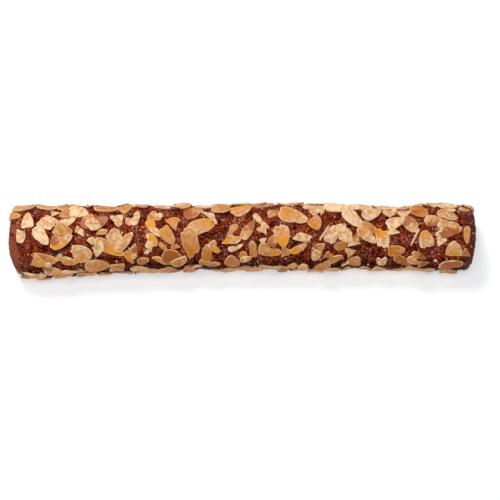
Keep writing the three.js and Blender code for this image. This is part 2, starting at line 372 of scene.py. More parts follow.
# The flakes that stand out, as in the part's source, with the bake of each and, for an uneven one,
# the direction of its patch from the pointed end.
SHOWN_FLAKES: tuple[Flake, ...] = flake_rows(
    (-142, 62, 15, 8, 10, WHOLE, TAN),
    (-127, 63, 13.5, 9, -3, WHOLE, TAN),
    (-137.5, 27, 11.5, 8, 95, SNAPPED, SPOTTED, 40),
    (-128, -8.5, 14.5, 8.3, -52, WHOLE, PALE),
    (-124.5, 21, 12, 9.5, -25, SQUARE, PALE),
    (-112, 22, 12, 6.5, 25, WHOLE, PALE),
    (-114, 1, 12, 9, -22, SNAPPED, TAN, 0),
    (-114.5, -22.5, 15.5, 7, 32, WHOLE, AMBER, 180),
    (-126, -49, 17, 5.5, 167, WHOLE, BAKED, 0),
    (-120.5, -75, 12.5, 8.5, -8, WHOLE, GOLDEN, -30),
    (-106, 41, 15.5, 10, -18, WHOLE, PALE),
    (-98.5, 19, 11.5, 8.5, 65, WHOLE, GLAZED, 180),
    (-92.8, 14.5, 15, 9.5, 28, WHOLE, GLAZED, 0),
    (-88.5, 54, 15, 10, -5, WHOLE, BAKED, 90),
    (-75.5, 51, 9.5, 8.5, 40, SNAPPED, TAN),
    (-79.3, 21.5, 10.5, 8.5, -55, SHARD, PALE),
    (-68.6, 24, 10.5, 6.2, 72, CRESCENT, PALE),
    (-81.3, -16.5, 10.5, 9.5, -50, WHOLE, PALE),
    (-84.5, -36, 21, 8, -24, WHOLE, AMBER, 0),
    (-91, -35, 10, 6.5, 45, SQUARE, PALE),
    (-74.8, -27, 16, 6.3, 48, WHOLE, PALE),
    (-72, -46, 14, 7.5, 78, SHARD, GOLDEN, 180),
    (-101.8, -43.5, 12.5, 12.3, 8, SNAPPED, SPOTTED, 230),
    (-92.5, -68, 16.5, 9.5, 3, WHOLE, BAKED, -60),
    (-80.3, -75, 10.5, 7.5, 8, SQUARE, TAN),
    (-100.5, -94, 13.5, 6, 3, SPLIT, TAN),
    (-56.5, 1, 14, 6.5, -52, CRESCENT, AMBER, 180),
    (-47.6, -15, 13, 8.5, -50, SNAPPED, GOLDEN, 180),
    (-44, 8.5, 9.5, 9, -76, SECTOR, GOLDEN, 200),
    (-58.2, -23.5, 9.5, 8.5, 100, CRESCENT, AMBER, -60),
    (-45.4, -55, 12.5, 10.5, 5, WHOLE, TOASTED, 90),
    (-31.5, 35, 13, 9, 25, WHOLE, GLAZED, 180),
    (-33, -29, 20, 10.5, -74, TIPLESS, BAKED, 0),
    (-26, 4, 18.5, 10, 20, WHOLE, GOLDEN, 20),
    (-20, 25, 14, 5, -42, SHARD, PALE),
    (-14, 42.5, 13.5, 9, -14, WHOLE, TAN, 0),
    (-0.5, 41, 15, 9.5, 30, WHOLE, GOLDEN),
    (4, -5, 15, 6.5, 58, WHOLE, GLAZED, 0),
    (-22.7, -49, 11.5, 6.6, 84, WHOLE, BAKED, 180),
    (-6.4, -69, 10, 9, -35, WHOLE, BAKED),
    (-21, -71, 14, 4.5, -14, SPLIT, BAKED, 180),
    (1, -92, 12.5, 6, 8, WHOLE, TAN),
    (32.5, 23.5, 20, 11.5, -24, WHOLE, WARM, 180),
    (12, 13, 14, 4, -45, CRESCENT, PALE),
    (25.5, -18, 14.5, 10, -78, WHOLE, AMBER, 0),
    (17.5, -45, 14.5, 8, -12, CRESCENT, GOLDEN, 0),
    (8, -96, 14, 6, 5, SPLIT, TAN),
    (17.5, -85, 14, 4.5, 3, SPLIT, TAN),
    (31.5, 67, 17, 7, 0, WHOLE, TAN),
    (46, 46, 14.5, 9, 172, CRESCENT, PALE),
    (61, 47, 17.5, 9, -7, WHOLE, PALE),
    (70.5, 20, 17, 9.5, -52, WHOLE, PALE),
    (65.5, -18, 11.5, 9, -40, WHOLE, PALE),
    (57, -14.5, 12, 8.5, 65, WHOLE, PALE),
    (72, -71, 9.5, 9, 60, WHOLE, BAKED, 180),
    (81.5, -1, 13.5, 6, -28, WHOLE, BAKED, 0),
    (79, -18.5, 15, 7, -38, WHOLE, WARM, 180),
    (79.5, 52, 12, 8.5, -45, WHOLE, PALE),
    (83, 31, 14, 8.5, 28, WHOLE, PALE),
    (89.2, -21, 13.5, 9, -85, SQUARE, AMBER, 180),
    (103.5, 38, 10.5, 8, 50, SHARD, PALE),
    (98, 16, 12.5, 8, 20, WHOLE, PALE),
    (107.4, 9, 13, 8.7, -58, WHOLE, GLAZED, 180),
    (98.3, -45, 11, 7, 8, WHOLE, BAKED, 180),
    (102.5, -67, 13.5, 6, -32, WHOLE, TOASTED, 0),
    (116.8, -23, 11, 9.5, 100, SNAPPED, WARM, 0),
    (117.8, -94, 13.5, 6.5, 4, WHOLE, GOLDEN),
    (113.8, 41.5, 13.5, 9, -42, WHOLE, BAKED, 0),
    (122.5, 16, 12.5, 8, -4, WHOLE, GLAZED, -60),
    (131.8, 31, 13.5, 7.5, -22, WHOLE, PALE),
    (132.2, -1, 16, 12, -2, WHOLE, GLAZED, -90),
    (126.8, -25, 8.5, 5.5, 30, SQUARE, PALE),
    (135.4, -41.5, 9.8, 10.5, 88, SNAPPED, SPOTTED, 170),
    (134.5, -74, 16, 8, 12, WHOLE, TOASTED, 0),
)

# Smaller ones that show, too fine for the solid.
SMALL_FLAKES: tuple[Flake, ...] = flake_rows(
    (-141.5, -9, 10, 7, -68, WEDGE, PALE),
    (-113.2, 39.5, 8.5, 6.5, 80, SNAPPED, TAN, -90),
    (-118.3, -16.5, 10, 5.5, 68, SPLIT, GLAZED, 180),
    (-110.5, -57, 9, 5.5, -22, WHOLE, TAN),
    (-115.8, -49, 6, 5.5, -10, SHARD, WARM),
    (-123.5, -63, 7, 6.5, 70, SNAPPED, GLAZED, 180),
    (-129.5, -56, 8.5, 7.5, -25, SNAPPED, GOLDEN, -60),
    (-138.5, -81, 9, 2.8, -8, SPLIT, GOLDEN),
    (-129, -81, 6.5, 4, -18, SHARD, PALE),
    (-129, -96, 9, 5, 0, SHARD, GOLDEN),
    (-112.8, -83, 8.5, 7, 10, WHOLE, BAKED),
    (-110.3, -76, 10.5, 2.6, -12, CRESCENT, PALE),
    (-57.4, 30, 7.8, 7.6, 90, SNAPPED, TAN),
    (-40.5, -65, 11, 6.5, 18, SPLIT, TAN),
    (-52.5, -60, 10, 3.5, -38, SHARD, GOLDEN),
    (-58, -92, 9.5, 7, 0, WHOLE, TAN),
    (-49.6, -88, 9.5, 6, 8, SNAPPED, TAN),
    (-37.5, 54, 10.5, 7, -16, WHOLE, GOLDEN),
    (-7.2, -27.5, 12.5, 5.8, 16, WEDGE, AMBER, 180),
    (-4.5, -40.5, 10, 3.8, 20, CRESCENT, PALE),
    (-17.5, -38, 9, 6, -50, CRESCENT, GOLDEN, 0),
    (20, 33, 8, 6, 10, SNAPPED, TAN),
    (12.2, -5, 7.8, 7, 85, SHARD, WARM),
    (19.6, -28, 8.5, 6.5, 60, SNAPPED, GLAZED, 180),
    (7.2, -43, 11, 5.3, 88, SPLIT, BAKED, 180),
    (27.6, -45.5, 8, 7, 20, SHARD, TAN),
    (35.8, -43, 11.5, 4.5, 24, SPLIT, AMBER, 180),
    (38.5, -21, 12, 5.5, -14, SQUARE, PALE, 0),
    (47, 9.5, 9.5, 8.6, 50, SPLIT, GOLDEN, 180),
    (62.7, 0, 7.8, 4.8, 22, WHOLE, PALE),
    (63, -38, 9, 5.5, 15, SPLIT, BAKED, 0),
    (48, -41, 9.3, 6.3, 180, SQUARE, GLAZED, 0),
    (46.8, -52.5, 8, 6, -112, WHOLE, PALE),
    (59.2, -63.5, 10.5, 4.8, 26, WHOLE, BAKED),
    (68.2, -48, 7, 6.5, 40, SHARD, WARM),
    (70.6, -30.5, 9, 5.5, 10, SHARD, PALE),
    (47.5, -103, 10.5, 6, 0, WHOLE, BAKED),
    (95.5, 43, 10, 7, 40, CRESCENT, PALE),
    (109.3, -62, 8.3, 6, -18, WHOLE, GOLDEN, 0),
    (112.2, -53, 10.5, 4, -25, WHOLE, GLAZED, 0),
    (143.1, -13, 11.5, 4.2, -98, SPLIT, GOLDEN, -60),
    (132.5, 55, 13, 7, -10, WHOLE, PALE),
    (-121.3, 44, 6.2, 4.6, 40, SHARD, PALE),
    (-89.4, -5.5, 7.5, 4.4, 22, WEDGE, GOLDEN),
    (-104.3, 4.5, 6, 4.6, 10, SHARD, PALE),
    (-101.8, -4, 5.8, 3.8, -35, SHARD, PALE),
    (-96, -21, 6, 5, -10, WEDGE, PALE),
    (-104, -77, 5, 3.5, 0, SHARD, TAN),
    (-90, -92, 6, 3.5, 0, SHARD, TAN),
    (-52.8, 29, 4, 4, 0, WEDGE, PALE),
    (-59.6, -42.5, 6.8, 2.8, 42, SPLIT, PALE),
    (-72.5, 16, 6, 3.6, -68, WHOLE, PALE),
    (-68.3, -44, 9, 5, 70, WHOLE, GLAZED, 0),
    (-50.6, -36, 7, 2.8, -45, SPLIT, GOLDEN),
    (-43, -35, 7, 5, 20, SHARD, TAN),
    (-63.3, -62, 8, 5.5, 20, WHOLE, BAKED),
    (-67.7, -82, 7.5, 3, -12, SPLIT, GOLDEN),
    (-35.2, -87, 7.5, 5.5, 14, WHOLE, TAN),
    (-65, 58, 9, 5.5, -2, WHOLE, TAN),
    (-49, 52, 7, 5, 0, SHARD, PALE),
    (-6, -3, 8, 5, 55, WEDGE, TAN),
    (-8, -16, 5, 4, 0, SHARD, PALE),
    (0, -55, 6, 5, 30, WEDGE, GOLDEN),
    (2, -62, 7.5, 4.2, 15, WHOLE, PALE),
    (-10, -93, 8, 4, 0, SPLIT, TAN),
    (-22, 58, 5, 5, 0, SHARD, PALE),
    (13, -26, 5, 4.5, 60, SHARD, PALE),
    (32.3, -82, 7, 7, 90, WEDGE, GOLDEN),
    (39, -81, 8, 7, 90, WEDGE, TAN),
    (9, 70, 14, 7, 0, WHOLE, TAN),
    (73, 48, 6, 5, 0, SHARD, PALE),
    (58, -90, 10, 6, 3, WHOLE, TAN),
    (46.6, 33, 7, 6, 40, SNAPPED, PALE),
    (55, -53, 6.5, 4.6, 0, SHARD, BAKED),
    (72.6, -19, 8, 5, 80, SHARD, GLAZED),
    (96, -3.5, 8, 6, 5, SHARD, SPOTTED, 60),
    (114.6, -66, 7.5, 4.5, 25, SHARD, TOASTED),
    (89, -68, 7, 6.5, -90, NOTCHED, PALE),
    (143.8, -47.5, 6.5, 5, -10, SHARD, BAKED, 0),
    (134, -97, 12, 6, 0, WHOLE, TOASTED),
    (143.2, 55, 8.5, 6, 4, SQUARE, TAN),
    (-149, 42, 6, 4.5, 90, WHOLE, GOLDEN),
    (132.8, 41, 8, 3, -28, SPLIT, PALE),
    (124.6, -13, 7.5, 4.2, 80, SHARD, PALE),
    (124.5, 62, 10, 5, 2, SPLIT, ORANGE),
    (115, 60, 6.5, 4, 0, SPLIT, ORANGE),
    (148.2, 70, 3.6, 2.6, 20, SHARD, AMBER),
    (149.3, 62, 2.6, 2.2, 70, SHARD, TOASTED),
    (147.2, 78, 4.2, 2.6, -30, SHARD, GOLDEN),
    (149.4, 76, 2.4, 2.0, 10, WEDGE, TOASTED),
)

# Thin slivers that stand on edge, and how steeply.
SLIVER_TILT = 78.0
STANDING_SLIVERS: tuple[Flake, ...] = tuple(
    replace(sliver, tilt=SLIVER_TILT)
    for sliver in flake_rows(
        (52, -14, 11, 3.2, 57, SPLIT),
        (110, -20, 12, 3.4, 62, SPLIT),
        (66, -74, 6, 2.6, 40, SPLIT),
        (132, 45, 8, 2.6, -25, SPLIT),
        (-29, -77, 6, 2.4, 10, SPLIT),
    )
)


@dataclass
class FlakeLayout:
    """Where every flake lies, from the same rule and draws as the part's source."""

    form: BarForm
    seed: int = 4711
    end_margin: float = 8.0
    # Flakes closer than this overlap. Each layer under a flake lifts it, the third and later ones less.
    overlap: float = 0.85
    full_layers: float = 2.0
    further_layer: float = 0.15
    # Degrees from the top between which the scattered flakes lie, and the share that lies in front.
    front_band: Span = (-106.0, -84.0)
    back_band: Span = (60.0, 106.0)
    front_share: float = 0.25
    most: int = 126
    # Tries, lengths, widths and spacing of the scattered flakes, the largest first.
    classes: tuple[tuple[int, Span, Span, float], ...] = (
        (400, (13, 17), (8, 10), 1.0),
        (900, (9, 12), (6.5, 8.5), 0.92),
    )
    cuts: tuple[Cut, ...] = (WHOLE, WHOLE, SNAPPED, TIPLESS, SPLIT, SQUARE, WEDGE, SHARD)
    looks: tuple[Look, ...] = (PALE, PALE, TAN, TAN, GOLDEN, GOLDEN, TOASTED, AMBER)
    # The flakes at the front foot take browner and glazed bakes, so that the foot's flakes come out darker
    # than those above.
    foot_looks: tuple[Look, ...] = (GLAZED, BAKED, TAN, GLAZED, TOASTED, GLAZED, TAN, TOASTED)
    # Smaller ones between them, their spacing in front, on top and behind, and where the front ends.
    small_tries: int = 700
    small_margin: float = 5.0
    small_round: float = 106.0
    small_sizes: Span = (3.5, 8.0)
    small_widths: Span = (0.5, 0.8)
    small_spacings: tuple[float, float, float] = (1.5, 2.6, 1.05)
    small_front: float = -60.0
    # Bits on the top and sides.
    bit_seed: int = 77
    bit_number: int = 130
    bit_margin: float = 3.0
    bit_round: float = 108.0
    bit_sizes: Span = (0.9, 2.4)
    bit_widths: Span = (0.4, 0.8)
    bit_cuts: tuple[Cut, ...] = (WEDGE, SHARD, SHARD)
    bit_looks: tuple[Look, ...] = (PALE, PALE, TAN, GOLDEN, AMBER, TOASTED)

    def apart(self, a: Flake, b: Flake) -> float:
        """Share by which two flakes lie apart: 1 where they just touch."""
        gap = math.hypot(a.along - b.along, self.form.mm_per_degree * (a.round - b.round))
        return gap / ((a.length + a.width + b.length + b.width) / 4)

    def lay(self, flakes: list[Flake], flake: Flake) -> None:
        """Adds a flake, on top of any flake that it covers well.

        Args:
            flakes: the flakes that lie there already.
            flake: the new one.
        """
        layer = max((o.layer + 1 for o in flakes if self.apart(flake, o) < self.overlap), default=0.0)
        further = max(layer - self.full_layers, 0.0)
        flakes.append(replace(flake, layer=min(layer, self.full_layers) + self.further_layer * further))

    def large(self) -> list[Flake]:
        """The flakes that the part's source has too.

        Returns:
            The ones that stand out, then the scattered ones.
        """
        draws, flakes = Draws(self.seed), []
        for flake in SHOWN_FLAKES:
            self.lay(flakes, flake)
        reach = self.form.length / 2 - self.end_margin
        for tries, lengths, widths, spacing in self.classes:
            for _ in range(tries):
                if len(flakes) >= self.most:
                    break
                along = draws.between(-reach, reach)
                band = self.front_band if draws.between(0, 1) < self.front_share else self.back_band
                around, length, width = (draws.between(*span) for span in (band, lengths, widths))
                turn = draws.between(0, 360)
                flake = Flake(along, around, length, width, turn, draws.choice(self.cuts))
                if all(self.apart(flake, other) > spacing for other in flakes):
                    looks = self.foot_looks if band == self.front_band else self.looks
                    self.lay(flakes, replace(flake, look=looks[len(flakes) % len(looks)]))
        return flakes

    def small(self, large: Sequence[Flake]) -> list[Flake]:
        """Smaller flakes: the ones that show, then broken ones that fill the sides.

        Args:
            large: the flakes that lie there already.

        Returns:
            The smaller ones alone.
        """
        draws, flakes = Draws(self.seed + 1), list(large)
        for flake in SMALL_FLAKES:
            self.lay(flakes, flake)
        reach = self.form.length / 2 - self.small_margin
        broken = [cut for cut in self.cuts if cut is not WHOLE]
        in_front, on_top, behind = self.small_spacings
        for _ in range(self.small_tries):
            along = draws.between(-reach, reach)
            around = draws.between(-self.small_round, self.small_round)
            size = draws.between(*self.small_sizes)
            width, turn = size * draws.between(*self.small_widths), draws.between(0, 360)
            looks = self.foot_looks if around < self.front_band[1] else self.looks
            flake = Flake(along, around, size, width, turn, draws.choice(broken), draws.choice(looks))
            room = in_front if around < self.small_front else on_top if around < self.back_band[0] else behind
            if all(self.apart(flake, other) > room for other in flakes):
                self.lay(flakes, flake)
        return flakes[len(large):]

    def bits(self) -> list[Flake]:
        """Small broken bits, scattered over the top and sides.

        Returns:
            The bits, which lie straight on the dough.
        """
        draws, flakes = Draws(self.bit_seed), []
        reach = self.form.length / 2 - self.bit_margin
        for i in range(self.bit_number):
            size, along = draws.between(*self.bit_sizes), draws.between(-reach, reach)
            around = draws.between(-self.bit_round, self.bit_round)
            width, turn = size * draws.between(*self.bit_widths), draws.between(0, 360)
            cut, look = self.bit_cuts[i % len(self.bit_cuts)], self.bit_looks[i % len(self.bit_looks)]
            flakes.append(Flake(along, around, size, width, turn, cut, look))
        return flakes


# ---- Meshes ----------------------------------------------------------------------------------
def link(made: bpy.types.Object) -> bpy.types.Object:
    """Puts an object in the scene."""
    bpy.context.scene.collection.objects.link(made)
    return made


@dataclass
class MeshBuffer:
    """Gathers closed pieces of one kind into one mesh, with values for its material."""

    points: list[Array] = field(default_factory=list)
    faces: list[tuple[int, ...]] = field(default_factory=list)
    values: dict[str, list[Array]] = field(default_factory=dict)
    count: int = 0

    def add(self, points: Array, faces: Iterable[tuple[int, ...]], values: dict[str, Array]) -> None:
        """Adds one closed piece.

        Args:
            points: its points, one row each.
            faces: its faces, numbered from its own first point.
            values: for each named value, one number or triple for each point.
        """
        self.faces.extend(tuple(i + self.count for i in face) for face in faces)
        self.points.append(points)
        for name, value in values.items():
            self.values.setdefault(name, []).append(value)
        self.count += len(points)

    def piece(self, name: str, finish: bpy.types.Material) -> bpy.types.Object:
        """Makes the object from what was gathered.

        Args:
            name: name of the piece.
            finish: its material.

        Returns:
            The piece, in metres.
        """
        mesh = bpy.data.meshes.new(name)
        mesh.from_pydata((np.concatenate(self.points) * MM).tolist(), [], self.faces)
        for key, parts in self.values.items():
            data = np.concatenate(parts)
            triple = data.ndim == 2
            attribute = mesh.attributes.new(key, "FLOAT_VECTOR" if triple else "FLOAT", "POINT")
            attribute.data.foreach_set("vector" if triple else "value", data.astype(np.float32).ravel())
        mesh.polygons.foreach_set("use_smooth", [True] * len(mesh.polygons))
        mesh.materials.append(finish)
        mesh.update()
        return link(bpy.data.objects.new(name, mesh))


def ring_faces(rings: int, count: int) -> list[tuple[int, ...]]:
    """Faces of a closed shell: a first pole, rings of count points each, and a last pole.

    Args:
        rings: number of rings.
        count: points of one ring.

    Returns:
        The faces, facing out where the rings run counterclockwise about the way they follow.
    """
    faces: list[tuple[int, ...]] = []
    last = rings * count + 1
    for i in range(count):
        j = (i + 1) % count
        faces.append((0, 1 + j, 1 + i))
        faces.append((last, last - count + i, last - count + j))
        for r in range(rings - 1):
            a, b = 1 + r * count, 1 + (r + 1) * count
            faces.append((a + i, a + j, b + j, b + i))
    return faces


@dataclass(frozen=True)
class Lumps:
    """Seeded lumps: their height and size in millimetres, their start, and how they are drawn out."""

    height: float
    size: float
    start: float
    octaves: int = 1
    across: float = 1.0
    # How fast the further octaves fade, and how much finer each one is.
    fading: float = 0.8
    finer: float = 2.1

    def places(self, points: Array) -> Iterable[Vector]:
        """Places in the noise for points, drawn out across the bar."""
        scaled = points / np.array([1.0, self.across, self.across]) / self.size + self.start
        return (Vector(p) for p in scaled)

    def at(self, points: Array) -> Array:
        """Smooth heights, both above and below zero.

        Args:
            points: where they are wanted.

        Returns:
            A height for each point.
        """
        if self.octaves == 1:
            drawn = (noise.noise(p) for p in self.places(points))
        else:
            drawn = (noise.fractal(p, self.fading, self.finer, self.octaves) for p in self.places(points))
        return self.height * np.fromiter(drawn, float, len(points))

    def grains_at(self, points: Array) -> Array:
        """Heights at points that grow from each of scattered centres outwards."""
        drawn = (noise.voronoi(p)[0][0] for p in self.places(points))
        return self.height * np.fromiter(drawn, float, len(points))


# ---- Materials -------------------------------------------------------------------------------
class Palette(Enum):
    """Colours of the bar's finishes, some of them painted light and shade."""

    DOUGH = srgb(158, 56, 25)
    # Painted shade: the dark of the crumb's pits and fine hollows, of the lower wall and of the folds at the
    # ends.
    DOUGH_PIT = srgb(38, 5, 1)
    # Painted highlight on the tops of the crumb and of its fine bumps.
    DOUGH_LIGHT = srgb(240, 142, 92)
    # Painted glint on the wet glaze.
    DOUGH_GLINT = srgb(238, 190, 172)
    # The wet glaze's tone, with a painted sheen on it.
    DOUGH_SHINE = srgb(154, 70, 44)
    DOUGH_SHADE = srgb(150, 88, 70)
    # Painted reflection of the white table on the foot of the wall.
    DOUGH_LOW = srgb(112, 76, 78)
    # The plain ends' dough, painted lighter at the left end as light and darker at the right end as shade.
    DOUGH_LEFT = srgb(178, 94, 64)
    DOUGH_RIGHT = srgb(98, 40, 24)
    ALMOND = srgb(240, 203, 164)
    ALMOND_CREAM = srgb(255, 217, 174)
    ALMOND_TAN = srgb(218, 152, 86)
    ALMOND_BROWN = srgb(174, 90, 30)
    # Painted highlight on a flake's rim.
    ALMOND_RIM = srgb(255, 218, 172)
    AMBER = srgb(242, 154, 12)
    GLAZE = srgb(170, 88, 44)


class NodeSketch:
    """Builds one node material step by step."""

    def __init__(self, name: str) -> None:
        """Starts a material with one Principled shader.

        Args:
            name: name of the material.
        """
        self.material = bpy.data.materials.new(name)
        self.material.use_nodes = True
        self.tree = self.material.node_tree
        self.shader = self.tree.nodes["Principled BSDF"]
        self.place = self.tree.nodes.new("ShaderNodeTexCoord").outputs["Object"]

    def feed(self, sockets: Any, values: dict[Any, Any]) -> None:
        """Links sockets to outputs, or sets them to constants.

        Args:
            sockets: the inputs of a node.
            values: what each takes, by its name, with _ for a blank, or by its number.
        """
        for key, value in values.items():
            socket = sockets[key.replace("_", " ") if isinstance(key, str) else key]
            if isinstance(value, bpy.types.NodeSocket):
                self.tree.links.new(value, socket)
            else:
                socket.default_value = (*value.value, 1.0) if isinstance(value, Palette) else value

    def node(self, kind: str, settings: dict[str, str] | None = None, **inputs: Any) -> bpy.types.Node:
        """Adds a node.

        Args:
            kind: its type.
            settings: its options by name.
            inputs: what its inputs take.

        Returns:
            The node.
        """
        made = self.tree.nodes.new(kind)
        for key, value in (settings or {}).items():
            setattr(made, key, value)
        self.feed(made.inputs, inputs)
        return made

    def noise(self, size: float, detail: float = 3.0, where: Any = None, rough: float = 0.55) -> Any:
        """Smooth noise.

        Args:
            size: size of its lumps, in millimetres or in the places' own unit.
            detail: how many finer layers it has.
            where: the places, if not the bar's own.
            rough: share that each finer layer adds.

        Returns:
            Values between 0 and 1.
        """
        scale, vector = (1.0 / (size * MM), self.place) if where is None else (1.0 / size, where)
        made = self.node("ShaderNodeTexNoise", Vector=vector, Scale=scale, Detail=detail, Roughness=rough)
        return made.outputs["Fac"]

    def cells(self, size: float, jitter: Any, reach: float = 1.2) -> Any:
        """Distance to the nearest of scattered centres.

        Args:
            size: their spacing in millimetres.
            jitter: a value that moves the places.
            reach: how far it moves them, in millimetres.

        Returns:
            The distance in shares of the size.
        """
        moved = self.node("ShaderNodeVectorMath", {"operation": "ADD"})
        self.feed(moved.inputs, {0: self.place, 1: self.times(jitter, reach * MM)})
        made = self.node("ShaderNodeTexVoronoi", Vector=moved.outputs[0], Scale=1.0 / (size * MM))
        return made.outputs["Distance"]

    def stretched(self, units: Sequence[float], where: Any = None) -> Any:
        """Places counted in a unit of its own along each axis.

        Args:
            units: the three units.
            where: the places, if not the bar's own.

        Returns:
            The counted places.
        """
        scale = tuple(1 / unit for unit in units)
        made = self.node("ShaderNodeMapping", Vector=self.place if where is None else where, Scale=scale)
        return made.outputs["Vector"]

    def value(self, name: str, kind: str = "Fac") -> Any:
        """A value, or a Vector, that the mesh holds at each point."""
        return self.node("ShaderNodeAttribute", {"attribute_name": name}).outputs[kind]

    def axis(self, name: str) -> Any:
        """Place along an axis of the bar, in metres."""
        return self.node("ShaderNodeSeparateXYZ", Vector=self.place).outputs[name]

    def ramp(self, source: Any, span: Span, ends: Span = (0.0, 1.0)) -> Any:
        """Eases from one value to another while a source goes through a span.

        Args:
            source: what it follows.
            span: where it starts and ends.
            ends: the values there.

        Returns:
            The eased value.
        """
        made = self.node("ShaderNodeMapRange", {"interpolation_type": "SMOOTHSTEP"}, Value=source)
        self.feed(made.inputs, dict(zip(("From_Min", "From_Max", "To_Min", "To_Max"), (*span, *ends))))
        return made.outputs["Result"]

    def math(self, kind: str, a: Any, b: Any) -> Any:
        """Combines two values.

        Args:
            kind: how, in the node's words.
            a: the first.
            b: the second.

        Returns:
            The result.
        """
        made = self.node("ShaderNodeMath", {"operation": kind})
        self.feed(made.inputs, {0: a, 1: b})
        return made.outputs[0]

    def plus(self, a: Any, b: Any) -> Any:
        """Two values added."""
        return self.math("ADD", a, b)

    def times(self, a: Any, b: Any) -> Any:
        """Two values multiplied."""
        return self.math("MULTIPLY", a, b)

    def weighed(self, *parts: tuple[Any, float, float]) -> Any:
        """Sum of sources, each less its middle value and times its weight.

        Args:
            parts: a source, its middle and its weight each.

        Returns:
            The sum.
        """
        total: Any = 0.0
        for source, middle, weight in parts:
            total = self.plus(total, self.times(self.math("SUBTRACT", source, middle), weight))
        return total

    def mix(self, share: Any, a: Any, b: Any, kind: str = "MIX") -> Any:
        """Lays one colour over another.

        Args:
            share: how much of it covers.
            a: the colour below.
            b: the colour laid on.
            kind: how they mix.

        Returns:
            The mixed colour.
        """
        # The sockets for colours come after those for numbers and vectors.
        made = self.node("ShaderNodeMix", {"data_type": "RGBA", "blend_type": kind})
        self.feed(made.inputs, {0: share, 6: a, 7: b})
        return made.outputs[2]

    def bump(self, height: Any, depth: float, strength: Any, over: Any = None) -> Any:
        """Normal of a fine relief.

        Args:
            height: its height, from 0 to 1.
            depth: its depth in millimetres.
            strength: its strength.
            over: a normal that it adds to.

        Returns:
            The normal.
        """
        under = {} if over is None else {"Normal": over}
        made = self.node("ShaderNodeBump", Height=height, Distance=depth * MM, Strength=strength, **under)
        return made.outputs["Normal"]

    def finish(self, **inputs: Any) -> bpy.types.Material:
        """Feeds the shader and returns the material."""
        self.feed(self.shader.inputs, inputs)
        return self.material


